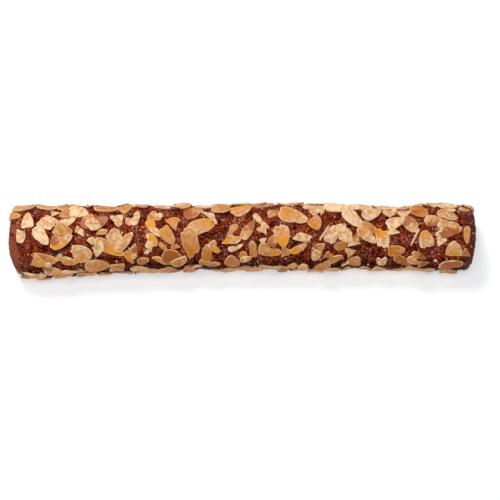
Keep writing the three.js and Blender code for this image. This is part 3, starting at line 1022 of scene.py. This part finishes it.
@dataclass(frozen=True)
class DoughFinish:
    """Dark spiced dough: crumbly, wet with glaze in patches, plainer at the pressed ends, with painted shade,
    highlights, glints, sheen and a painted reflection of the table.
    """

    # Sizes in millimetres of what mottles it.
    clump: float = 5.0
    crumb: float = 1.5
    grain: float = 1.15
    fleck: float = 0.6
    wet_patch: float = 8.0
    blotch: float = 16.0
    glint: float = 1.1
    streak: float = 2.2
    # Units along each axis by which the streaks of the ends are drawn out, in metres.
    streak_units: tuple[float, float, float] = (1.8 * MM, 7.0 * MM, 7.0 * MM)
    # Middle and weight of what raises the crumb: relief, crumb, grains and clumps.
    body: tuple[Span, ...] = ((0.0, 0.5), (0.5, 1.8), (0.42, -0.9), (0.48, 1.3))
    # Heights of the crumb over which it goes from painted shade in its pits to its body and on to painted
    # highlights on its tops.
    painted_pit_shade: Span = (-0.5, 0.17)
    painted_top_highlight: Span = (0.2, 0.66)
    # Flecks whose hollows take painted shade and whose tops take painted highlights, as much as the share.
    shaded_fleck_hollows: Span = (0.28, 0.44)
    highlit_fleck_tops: Span = (0.6, 0.75)
    fleck_share: float = 0.5
    # Wet glaze patches, and how much of the glaze's tone with its painted sheen they take.
    wet: Span = (0.5, 0.6)
    wet_sheen_share: float = 0.3
    # Heights above the table, in metres, below which the wall takes painted shade, then a painted grey
    # reflection of the table, and how much.
    ragged_height: float = 0.006
    painted_wall_shade: Span = (0.016, 0.025)
    wall_shade_share: float = 0.68
    painted_foot_reflection: Span = (0.01, 0.0145)
    foot_reflection_share: float = 0.75
    # The plain ends: their folds, which take painted shade, and the places along the bar between which their
    # colour goes from the painted lit left end to the painted shaded right end.
    folds: Span = (0.1, 0.42)
    fold_relief: float = 0.3
    middle: Span = (-0.02, 0.02)
    plain_share: float = 0.85
    blotches: Span = (0.45, 0.7)
    blotch_share: float = 0.35
    # Glaze: where painted glints lie on it and where its coat shines, how little of it is on dry dough and on
    # the wall.
    painted_glints: Span = (0.63, 0.72)
    shine: Span = (0.5, 0.64)
    dry_coat: float = 0.1
    wall: Span = (0.013, 0.025)
    wall_coat: float = 0.15
    plain_coat: float = 0.35
    # Depths and strengths of the fine relief.
    grain_depth: float = 0.7
    crumb_relief: float = 0.9
    wet_relief: float = 0.7
    fleck_relief: Span = (0.25, 0.9)

    def material(self) -> bpy.types.Material:
        """Makes the node material, which reads the mesh's relief and its share of plain dough.

        Returns:
            The material.
        """
        s = NodeSketch("spiced_dough_crumb")
        relief, plain = s.value("relief"), s.value("plain")
        clump, crumb, fleck = s.noise(self.clump, 2.0), s.noise(self.crumb), s.noise(self.fleck, 2.0)
        grain = s.cells(self.grain, crumb)
        parts = zip((relief, crumb, grain, clump), self.body)
        body = s.weighed(*((source, *weights) for source, weights in parts))
        # Painted shade in the crumb's pits, then painted highlights on its tops.
        tone = s.mix(s.ramp(body, self.painted_pit_shade), Palette.DOUGH_PIT, Palette.DOUGH)
        tone = s.mix(s.ramp(body, self.painted_top_highlight), tone, Palette.DOUGH_LIGHT)
        # Painted shade in the hollows of the fine bumps, painted highlights on their tops.
        tone = s.mix(s.ramp(fleck, self.shaded_fleck_hollows, (self.fleck_share, 0.0)), tone, Palette.DOUGH_PIT)
        tone = s.mix(s.ramp(fleck, self.highlit_fleck_tops, (0.0, self.fleck_share)), tone, Palette.DOUGH_LIGHT)
        # Wet glaze patches take the glaze's tone with a painted sheen.
        wet = s.ramp(s.noise(self.wet_patch, 2.0), self.wet)
        tone = s.mix(s.times(wet, self.wet_sheen_share), tone, Palette.DOUGH_SHINE)
        height = s.plus(s.axis("Z"), s.times(clump, self.ragged_height))
        # Painted shade on the lower wall.
        tone = s.mix(s.ramp(height, self.painted_wall_shade, (self.wall_shade_share, 0.0)), tone, Palette.DOUGH_PIT)
        # Painted grey reflection of the white table at the foot.
        tone = s.mix(s.ramp(height, self.painted_foot_reflection, (self.foot_reflection_share, 0.0)), tone, Palette.DOUGH_LOW)
        # The plain ends: painted shade in their folds, a painted lit left end and a painted shaded right end.
        streak = s.noise(self.streak, 3.0, s.stretched(self.streak_units))
        folds = s.ramp(s.plus(streak, s.times(relief, self.fold_relief)), self.folds)
        ends = s.mix(s.ramp(s.axis("X"), self.middle), Palette.DOUGH_LEFT, Palette.DOUGH_RIGHT)
        tone = s.mix(s.times(plain, self.plain_share), tone, s.mix(folds, Palette.DOUGH_PIT, ends))
        blotch = s.ramp(s.noise(self.blotch, 2.0), self.blotches, (0.0, self.blotch_share))
        tone = s.mix(blotch, tone, Palette.DOUGH_SHADE, "MULTIPLY")
        # Painted glints on the wet glaze; the same noise then sets where the glaze's coat shines.
        glint = s.noise(self.glint, 1.0)
        tone = s.mix(s.times(s.ramp(glint, self.painted_glints), wet), tone, Palette.DOUGH_GLINT)
        coat = s.times(s.ramp(glint, self.shine), s.ramp(wet, (0.0, 1.0), (self.dry_coat, 1.0)))
        coat = s.times(coat, s.ramp(height, self.wall, (self.wall_coat, 1.0)))
        coat = s.math("MAXIMUM", coat, s.times(plain, self.plain_coat))
        raised = s.math("SUBTRACT", crumb, s.times(grain, self.grain_depth))
        strength = s.ramp(wet, (0.0, 1.0), (1.0, self.wet_relief))
        normal = s.bump(raised, self.crumb_relief, strength, s.bump(fleck, *self.fleck_relief))
        return s.finish(
            Base_Color=tone,
            Roughness=0.7,
            Normal=normal,
            Specular_IOR_Level=0.04,
            Coat_Weight=coat,
            Coat_Roughness=0.12,
            Coat_Normal=normal,
        )


@dataclass(frozen=True)
class AlmondFinish:
    """Toasted almond: pale, with a painted highlight on its rim, amber or brown where it caught, glazed in
    places.
    """

    # Sizes in millimetres of what mottles it, and the units by which its grain is drawn out.
    mottle: float = 2.6
    grain: float = 1.0
    grain_units: tuple[float, float, float] = (3.2, 0.75, 1.0)
    patch: float = 7.0
    patches: Span = (0.4, 0.6)
    # What the mottle and the grain add to the toast, and the toast over which it turns tan, then brown.
    mottling: Span = (0.3, 0.7)
    mottle_toast: Span = (-0.2, 0.28)
    lines: Span = (0.4, 0.75)
    line_toast: float = 0.14
    tan: Span = (0.0, 0.5)
    brown: Span = (0.45, 1.1)
    # The uneven edge of a patch, and where amber, the rim's painted highlight and glaze begin and are full.
    uneven: Span = (0.25, 0.75)
    edge: Span = (-0.35, 0.35)
    amber: Span = (-0.15, 0.4)
    amber_share: float = 0.92
    rim: Span = (0.2, 1.0)
    rim_highlight: Span = (0.35, 0.62)
    rim_highlight_shares: Span = (0.15, 0.8)
    glaze: Span = (-0.3, 0.3)
    roughness: Span = (0.5, 0.42)
    line_relief: Span = (0.08, 0.6)
    mottle_relief: Span = (0.14, 0.5)

    def material(self) -> bpy.types.Material:
        """Makes the node material, which reads each flake's toast, amber, glaze, side and rim.

        Returns:
            The material.
        """
        s = NodeSketch("toasted_almond")
        toast, amber, glaze, side, rim = (s.value(n) for n in ("toast", "amber", "glaze", "side", "rim"))
        mottle = s.noise(self.mottle)
        grain = s.noise(self.grain, 2.0, s.stretched(self.grain_units, s.value("grain", "Vector")))
        deep = s.plus(toast, s.ramp(mottle, self.mottling, self.mottle_toast))
        deep = s.plus(deep, s.ramp(grain, self.lines, (0.0, self.line_toast)))
        patch = s.ramp(s.noise(self.patch, 1.0), self.patches)
        tone = s.mix(patch, Palette.ALMOND, Palette.ALMOND_CREAM)
        tone = s.mix(s.ramp(deep, self.tan), tone, Palette.ALMOND_TAN)
        tone = s.mix(s.ramp(deep, self.brown), tone, Palette.ALMOND_BROWN)
        edge = s.plus(side, s.ramp(mottle, self.uneven, self.edge))
        caught = s.times(s.ramp(edge, self.amber), amber)
        tone = s.mix(s.times(caught, self.amber_share), tone, Palette.AMBER)
        # Painted highlight on the rim, uneven with the mottle.
        rim_highlight = s.times(s.ramp(rim, self.rim), s.ramp(mottle, self.rim_highlight, self.rim_highlight_shares))
        tone = s.mix(rim_highlight, tone, Palette.ALMOND_RIM)
        sticky = s.times(s.ramp(edge, self.glaze), glaze)
        return s.finish(
            Base_Color=s.mix(sticky, tone, Palette.GLAZE),
            Roughness=s.ramp(sticky, (0.0, 1.0), self.roughness),
            Normal=s.bump(grain, *self.line_relief, s.bump(mottle, *self.mottle_relief)),
            Specular_IOR_Level=0.25,
            Subsurface_Weight=0.12,
            Subsurface_Scale=1.2 * MM,
        )


# ---- The bar's pieces ------------------------------------------------------------------------
@dataclass
class DoughBar:
    """The dough: the bar's form with its crumb, its pressed ends and its flat, plain base."""

    form: BarForm
    spacing: float = 0.58
    side_points: int = 162
    foot_points: int = 7
    foot_start: float = 123.0
    end_rings: int = 18
    last_ring: float = 0.03
    # The crumb and what it is made of.
    lumps: Lumps = Lumps(0.3, 7.0, 3.7, 2)
    crumb_height: float = 0.72
    grain_level: float = 0.55
    crumbs: tuple[Lumps, ...] = (Lumps(0.6, 1.5, 31.7), Lumps(0.5, 4.0, 41.9))
    grains: Lumps = Lumps(1.25, 2.0, 11.3)
    # The plain ends: how far they reach in, raggedly, and their streaks and creases.
    ends: Span = (9.0, 2.0)
    ragged: Lumps = Lumps(4.0, 5.0, 51.3, 2)
    most_plain: float = 0.85
    smoothing: float = 0.65
    streaks: Lumps = Lumps(0.3, 1.6, 21.9, across=3.5)
    creases: Lumps = Lumps(1.0, 3.6, 61.3, across=2.4)
    crease_width: float = 0.12
    crease_depth: float = 0.4
    crease_shade: float = 0.8
    # Heights above the table between which the crumb begins.
    foot: Span = (0.4, 2.4)

    def places(self) -> Array:
        """Places of the cross-sections, closer together where the ends close.

        Returns:
            Their distances along the bar from its middle.
        """
        straight = self.form.length / 2 - self.form.end_rounding
        middle = np.linspace(-straight, straight, int(2 * straight / self.spacing))
        share = np.linspace(1.0, self.last_ring, self.end_rings + 1)[1:]
        power = self.form.end_roundness
        end = straight + self.form.end_rounding * (1.0 - share**power) ** (1.0 / power)
        return np.concatenate([-end[::-1], middle, end])

    def girth(self) -> Array:
        """Directions round a cross-section: close over its top and sides, few below.

        Returns:
            The directions in radians.
        """
        sides = np.linspace(self.foot_start, -self.foot_start, self.side_points)
        foot = np.linspace(-self.foot_start, self.foot_start - 360, self.foot_points + 2)[1:-1]
        return np.radians(np.concatenate([sides, foot]))

    def build(self, finish: bpy.types.Material) -> bpy.types.Object:
        """Makes the dough's mesh, which holds its relief and its share of plain dough at each point.

        Args:
            finish: its material.

        Returns:
            The piece.
        """
        form, places, around = self.form, self.places(), self.girth()
        x, turn = (grid.ravel() for grid in np.meshgrid(places, around, indexing="ij"))
        ends = np.array([-form.length / 2, form.length / 2])
        poles = np.stack([ends, form.outline_at(ends)[0], np.full(2, form.core_height)], axis=-1)
        points = np.concatenate([poles[:1], form.point(x, turn), poles[1:]])
        along = np.abs(np.concatenate([ends[:1], x, ends[1:]])) + self.ragged.at(points)
        plain = self.most_plain * smoothstep(along, *(form.length / 2 - end for end in self.ends))
        crumbs = self.grain_level - self.grains.grains_at(points) + sum(c.at(points) for c in self.crumbs)
        creases = np.exp(-((self.creases.at(points) / self.crease_width) ** 2))
        pressed = plain * (self.streaks.at(points) - self.crease_depth * creases)
        rough = self.crumb_height * crumbs * (1 - self.smoothing * plain) + pressed
        relief = smoothstep(points[:, 2], *self.foot) * (self.lumps.at(points) + rough)
        # The relief held here also sinks the creases of the ends, which the material paints with shade.
        buffer = MeshBuffer()
        buffer.add(
            points + form.outward(points) * relief[:, None],
            ring_faces(len(places), len(around)),
            {"relief": crumbs * (1 - plain) - self.crease_shade * plain * creases, "plain": plain},
        )
        return buffer.piece("dough_bar", finish)


@dataclass
class FlakeShape:
    """Builds one flake as a closed plate with a rounded rim, draped on the dough."""

    form: BarForm
    top: float = 0.95
    layer_lift: float = 0.8
    thickness: float = 1.4
    # Share of the thickness that even a bit has, and the length from which a flake has it all.
    least_thick: float = 0.75
    thick_length: float = 9.0
    stiffness: float = 0.22
    # Least height above the table of its underside and its top.
    floor_gap: Span = (0.15, 0.5)
    # Points of the outline: their number for no size, for each millimetre, and its limits.
    outline_points: tuple[float, float, int, int] = (8, 1.5, 12, 52)
    # Powers that fill out a whole and a broken outline, and how its pointed end narrows.
    whole_power: float = 0.9
    broken_power: float = 0.78
    tip_taper: float = 0.3
    tip_pinch: float = 0.06
    # Lobes and heights of the waves of the outline, and of its breaks, and their teeth.
    waves: tuple[tuple[int, float], ...] = ((2, 0.018), (3, 0.016), (7, 0.01))
    break_waves: tuple[tuple[int, float], ...] = ((4, 0.06), (9, 0.05))
    tooth: float = 0.07
    tooth_share: float = 0.5
    bite_depth: float = 0.75
    bite_spread: float = 0.7
    # Nicks in the rim: at least how many and fewer than how many, how deep and how wide.
    nicks: tuple[int, int] = (1, 6)
    nick_depths: Span = (0.03, 0.15)
    nick_widths: Span = (0.1, 0.26)
    # From the underside's middle over the rim to the top's: share of the outline, height, and rim, the share
    # of the painted rim highlight.
    profile: tuple[tuple[float, float, float], ...] = (
        (0.0, 0.05, 0.0),
        (0.6, 0.04, 0.0),
        (0.94, 0.02, 0.6),
        (1.0, 0.3, 1.0),
        (1.01, 0.76, 1.0),
        (0.995, 0.94, 1.0),
        (0.96, 1.0, 0.9),
        (0.88, 1.0, 0.12),
        (0.45, 0.98, 0.0),
        (0.0, 0.97, 0.0),
    )
    # A flake's own bend, which a long one has less of, and its tilt and pitch in degrees.
    bends: Span = (-0.012, 0.02)
    bend_lengths: Span = (10.0, 6.0)
    tilts: Span = (-2.8, 2.8)
    pitches: Span = (-1.0, 1.0)
    # A sliver on edge: its thickness as a share, and how much of its width stands out.
    sliver_thick: float = 0.35
    sliver_rise: float = 0.34
    # What a flake's own toast, its uneven side and its flat faces add to the toast.
    toasts: Span = (-0.1, 0.12)
    side_toast: Span = (0.06, 0.3)
    face_toasts: Span = (0.02, 0.2)
    spot_shift: float = 0.5
    grain_starts: float = 900.0

    def outline(self, flake: Flake, count: int, rng: np.random.Generator) -> Array:
        """Draws the flake's outline, ragged at its breaks and nicked in places.

        Args:
            flake: its size and cut.
            count: number of points.
            rng: draws for its small accidents.

        Returns:
            The points in its own plane, as long and as wide as the flake.
        """
        t = 2 * np.pi * np.arange(count) / count
        phases = rng.uniform(0, 2 * np.pi, len(self.waves))

        def wavy(kinds: tuple[tuple[int, float], ...]) -> Array:
            """Sum of the waves of some kinds round the outline."""
            return sum(height * np.sin(lobes * t + phase) for (lobes, height), phase in zip(kinds, phases))

        power = self.whole_power if flake.cut is WHOLE else self.broken_power
        x, y = (np.sign(v) * np.abs(v) ** power for v in (np.cos(t), np.sin(t)))
        y = y * (1 - self.tip_taper * np.cos(t)) * (1 - self.tip_pinch * np.clip(np.cos(t), 0, 1) ** 3)
        points = np.stack([x, y], axis=-1) * (1 + wavy(self.waves))[:, None]
        breaks = flake.cut.value if isinstance(flake.cut.value, tuple) else ()
        for one in breaks:
            reach = points @ heading(one.facing)
            teeth = self.tooth * rng.uniform(-1, 1, count) * (rng.uniform(0, 1, count) > self.tooth_share)
            limit = one.at * (1 + teeth + wavy(self.break_waves))
            points = points * np.where(reach > limit, limit / np.maximum(reach, TINY), 1.0)[:, None]
        if not breaks and flake.cut is not WHOLE:
            off = (t - math.radians(flake.cut.value)) / self.bite_spread
            points = points * (1 - self.bite_depth * np.exp(-(off**2)))[:, None]
        for _ in range(int(rng.integers(*self.nicks))):
            off = (t - rng.uniform(0, 2 * np.pi) + np.pi) % (2 * np.pi) - np.pi
            depth, width = rng.uniform(*self.nick_depths), rng.uniform(*self.nick_widths)
            points = points * (1 - depth * np.exp(-((off / width) ** 2)))[:, None]
        low, high = points.min(axis=0), points.max(axis=0)
        return (points - (low + high) / 2) * np.array([flake.length, flake.width]) / (high - low)

    def frame(self, flake: Flake) -> tuple[Array, Array, Array, Array]:
        """Finds the flake's bed on the dough.

        Args:
            flake: where it lies and how it is turned.

        Returns:
            The middle of its bed, and its directions up, lengthwise and sideways.
        """
        centre = self.form.point(flake.along, math.radians(flake.round))
        up = self.form.outward(centre)
        level = np.array([1.0, 0, 0]) - up * up[0]
        level /= np.linalg.norm(level)
        across, (cosine, sine) = np.cross(up, level), heading(flake.turn)
        return centre, up, level * cosine + across * sine, across * cosine - level * sine

    def drape(self, flake: Flake, flat: Array, height: Array, rng: np.random.Generator) -> Array:
        """Lays the flake on the dough.

        Args:
            flake: what it is and where it lies.
            flat: its points in its own plane.
            height: their shares of its thickness.
            rng: draws for its bend and its small turns.

        Returns:
            The points on the bar.
        """
        centre, up, lengthwise, sideways = self.frame(flake)
        fullness = min(1.0, flake.length / self.thick_length)
        thickness = self.thickness * (self.least_thick + (1 - self.least_thick) * fullness)
        most, least = self.bend_lengths
        bend = rng.uniform(*self.bends) * flat[:, 0] ** 2 * (most / max(flake.length, least))
        cosine, sine = heading(flake.tilt or rng.uniform(*self.tilts))
        pitch = heading(rng.uniform(*self.pitches))[1]
        if flake.tilt:
            middle = self.thickness * self.sliver_thick * (2 * height - 1)
            across = flat[:, 1] * cosine - middle * sine
            lift = flat[:, 1] * sine + middle * cosine + flake.width * self.sliver_rise
        else:
            across = flat[:, 1] * cosine
            lift = self.top + self.layer_lift * flake.layer - thickness * (1 - height)
            lift += flat[:, 1] * sine + flat[:, 0] * pitch + bend
            # Half of what the two small turns sink its edges.
            lift += (abs(sine) * flake.width + abs(pitch) * flake.length) / 4
        ground = centre + flat[:, :1] * lengthwise + across[:, None] * sideways
        points = ground + up * (self.form.drop_to(ground, up) * (1 - self.stiffness) + lift)[:, None]
        under, over = self.floor_gap
        points[:, 2] = np.maximum(points[:, 2], under + (over - under) * height)
        return points

    def add(self, buffer: MeshBuffer, flake: Flake, rng: np.random.Generator) -> None:
        """Adds the flake to a mesh.

        Args:
            buffer: the mesh that takes it.
            flake: what it is and where it lies.
            rng: draws for its small accidents.
        """
        start, per_mm, fewest, most = self.outline_points
        count = int(np.clip(start + per_mm * (flake.length + flake.width), fewest, most))
        rings = len(self.profile) - 2
        share, height, edge = np.repeat(self.profile, [1, *[count] * rings, 1], axis=0).T
        rim = self.outline(flake, count, rng)
        flat = np.concatenate([[[0, 0]], *[rim] * rings, [[0, 0]]]) * share[:, None]
        points = self.drape(flake, flat, height, rng)
        toast, amber, glaze = flake.look.value
        drawn = rng.uniform(0, 360)
        facing = heading(drawn if flake.facing is None else flake.facing)
        side = flat / np.array([flake.length / 2, flake.width / 2]) @ facing
        least, further = self.side_toast
        toasted = toast + rng.uniform(*self.toasts) + (least + further * toast) * side
        values = {
            "toast": toasted + rng.uniform(*self.face_toasts) * (1 - edge),
            "amber": np.full(len(flat), amber),
            "glaze": np.full(len(flat), glaze),
            "side": side - (self.spot_shift if flake.look is SPOTTED else 0.0),
            "rim": edge,
            "grain": np.column_stack([flat, np.full(len(flat), rng.uniform(0, self.grain_starts))]),
        }
        buffer.add(points, ring_faces(rings, count), values)


@dataclass
class AlmondFlakes:
    """One kind of almond flakes, joined into one piece."""

    name: str
    flakes: Sequence[Flake]
    shape: FlakeShape
    seed: int

    def build(self, finish: bpy.types.Material) -> bpy.types.Object:
        """Makes the flakes' mesh.

        Args:
            finish: its material.

        Returns:
            The piece.
        """
        rng, buffer = np.random.default_rng(self.seed), MeshBuffer()
        for flake in self.flakes:
            self.shape.add(buffer, flake, rng)
        return buffer.piece(self.name, finish)


@dataclass
class DoughCrumbs:
    """Loose crumbs of dough, stuck to the glaze."""

    form: BarForm
    number: int = 520
    seed: int = 91
    margin: float = 6.0
    round: float = 100.0
    sizes: Span = (0.3, 0.6)
    lumpy: Span = (0.7, 1.3)
    spread: Span = (0.8, 1.4)
    flatness: float = 0.8
    # How far out its middle lies: for any crumb, and for each millimetre of its size.
    lift: Span = (0.25, 0.3)
    relief: float = 0.2
    rings: int = 3
    ring_points: int = 7

    def ball(self) -> Array:
        """A round crumb of radius 1.

        Returns:
            Its lower pole, its rings of points and its upper pole.
        """
        ring, i = (g.ravel() for g in np.indices((self.rings, self.ring_points)))
        height = -np.cos(np.pi * (ring + 1) / (self.rings + 1))
        turn = 2 * np.pi * (i + 0.5 * ring) / self.ring_points
        wide = np.sqrt(1 - height**2)
        rows = np.column_stack([wide * np.cos(turn), wide * np.sin(turn), height])
        return np.concatenate([[[0.0, 0.0, -1.0]], rows, [[0.0, 0.0, 1.0]]])

    def build(self, finish: bpy.types.Material) -> bpy.types.Object:
        """Makes the crumbs' mesh.

        Args:
            finish: its material.

        Returns:
            The piece.
        """
        draws, buffer, ball = Draws(self.seed), MeshBuffer(), self.ball()
        reach = self.form.length / 2 - self.margin
        least, further = self.lift
        for _ in range(self.number):
            size, along = draws.between(*self.sizes), draws.between(-reach, reach)
            place = self.form.point(along, math.radians(draws.between(-self.round, self.round)))
            lumps = np.array([[draws.between(*self.lumpy)] for _ in ball])
            stretch = np.array([draws.between(*self.spread), draws.between(*self.spread), self.flatness])
            where = place + self.form.outward(place) * (least + further * size)
            values = {"relief": np.full(len(ball), self.relief), "plain": np.zeros(len(ball))}
            faces = ring_faces(self.rings, self.ring_points)
            buffer.add(where + ball * lumps * size * stretch, faces, values)
        return buffer.piece("dough_crumbs", finish)


# ---- Studio ----------------------------------------------------------------------------------
@dataclass(frozen=True)
class Lamp:
    """One square soft light: its place and size in metres, its power in watts and its tint."""

    name: str
    place: Colour
    size: float
    power: float
    tint: Colour = (1.0, 1.0, 1.0)


@dataclass
class Studio:
    """Pale floor, soft light from above, behind and in front, and the camera at the photo's angle."""

    aim: tuple[float, float, float] = (4.84, -8.29, 15.0)
    elevation: float = 70.0
    distance: float = 761.0
    lens: float = 85.0
    sensor: float = 36.0
    floor_size: float = 16.0
    floor_colour: Colour = (0.64, 0.66, 0.67)
    floor_roughness: float = 0.7
    glow_colour: Colour = (0.97, 0.97, 1.0)
    glow: float = 0.52
    sky: float = 0.1
    lamps: tuple[Lamp, ...] = (
        Lamp("overhead_softbox", (-0.05, -0.02, 1.3), 0.6, 5.8),
        Lamp("key_softbox", (-0.36, 0.72, 1.0), 0.4, 9.6, (1.0, 0.985, 0.96)),
        Lamp("front_softbox", (-0.25, -0.9, 0.5), 0.5, 1.8),
    )

    def camera(self) -> None:
        """Adds the camera and makes it the scene's."""
        data = bpy.data.cameras.new("photo_camera")
        data.lens, data.sensor_width = self.lens, self.sensor
        camera = link(bpy.data.objects.new("photo_camera", data))
        rise = math.radians(self.elevation)
        back = Vector((0.0, -math.cos(rise), math.sin(rise)))
        camera.location = (Vector(self.aim) + back * self.distance) * MM
        camera.rotation_euler = (math.pi / 2 - rise, 0.0, 0.0)
        bpy.context.scene.camera = camera

    def floor(self) -> None:
        """Adds the white table that the bar lies on."""
        half = self.floor_size / 2
        corners = [(x * half, y * half, 0) for x, y in ((-1, -1), (1, -1), (1, 1), (-1, 1))]
        mesh = bpy.data.meshes.new("table")
        mesh.from_pydata(corners, [], [(0, 1, 2, 3)])
        finish = NodeSketch("white_table").finish(
            Base_Color=(*self.floor_colour, 1.0),
            Roughness=self.floor_roughness,
            Emission_Color=(*self.glow_colour, 1.0),
            Emission_Strength=self.glow,
        )
        mesh.materials.append(finish)
        floor = link(bpy.data.objects.new("table", mesh))

    def light(self) -> None:
        """Adds the sky, and the lamps, which face the bar."""
        world = bpy.data.worlds.new("studio_sky")
        world.use_nodes = True
        background = world.node_tree.nodes["Background"].inputs
        background["Color"].default_value = (1.0, 1.0, 1.0, 1.0)
        background["Strength"].default_value = self.sky
        bpy.context.scene.world = world
        for one in self.lamps:
            data = bpy.data.lights.new(one.name, "AREA")
            data.size, data.energy, data.color = one.size, one.power, one.tint
            lamp = link(bpy.data.objects.new(one.name, data))
            lamp.location = one.place
            lamp.rotation_euler = (-Vector(one.place)).to_track_quat("-Z", "Y").to_euler()

    def build(self) -> None:
        """Adds everything, with plain display colours."""
        self.camera()
        self.floor()
        self.light()
        view = bpy.context.scene.view_settings
        view.view_transform, view.look, view.exposure, view.gamma = "Standard", "None", 0.0, 1.0


# ---- Main ------------------------------------------------------------------------------------
def declare(piece: bpy.types.Object) -> None:
    """Says that a piece rides on the bar and stands for its solid, which is hidden.

    Args:
        piece: the piece.
    """
    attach(piece, BODY)
    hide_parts(NODE)
    LOG.info("%s: %d faces", piece.name, len(piece.data.polygons))


def main() -> None:
    """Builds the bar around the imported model, piece by piece, and the studio."""
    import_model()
    form = BarForm()
    layout, shape = FlakeLayout(form), FlakeShape(form)
    large = layout.large()
    small = layout.small(large)
    LOG.info("%d large flakes, %d small ones", len(large), len(small))
    dough, almond = DoughFinish().material(), AlmondFinish().material()
    declare(DoughBar(form).build(dough))
    declare(AlmondFlakes("almond_flakes", large, shape, seed=5).build(almond))
    declare(AlmondFlakes("almond_pieces", [*small, *STANDING_SLIVERS], shape, seed=6).build(almond))
    declare(AlmondFlakes("almond_bits", layout.bits(), shape, layout.bit_seed).build(almond))
    declare(DoughCrumbs(form).build(dough))
    Studio().build()


if __name__ == "__main__":
    logging.basicConfig(level=logging.INFO, format="%(name)s: %(message)s")
    main()
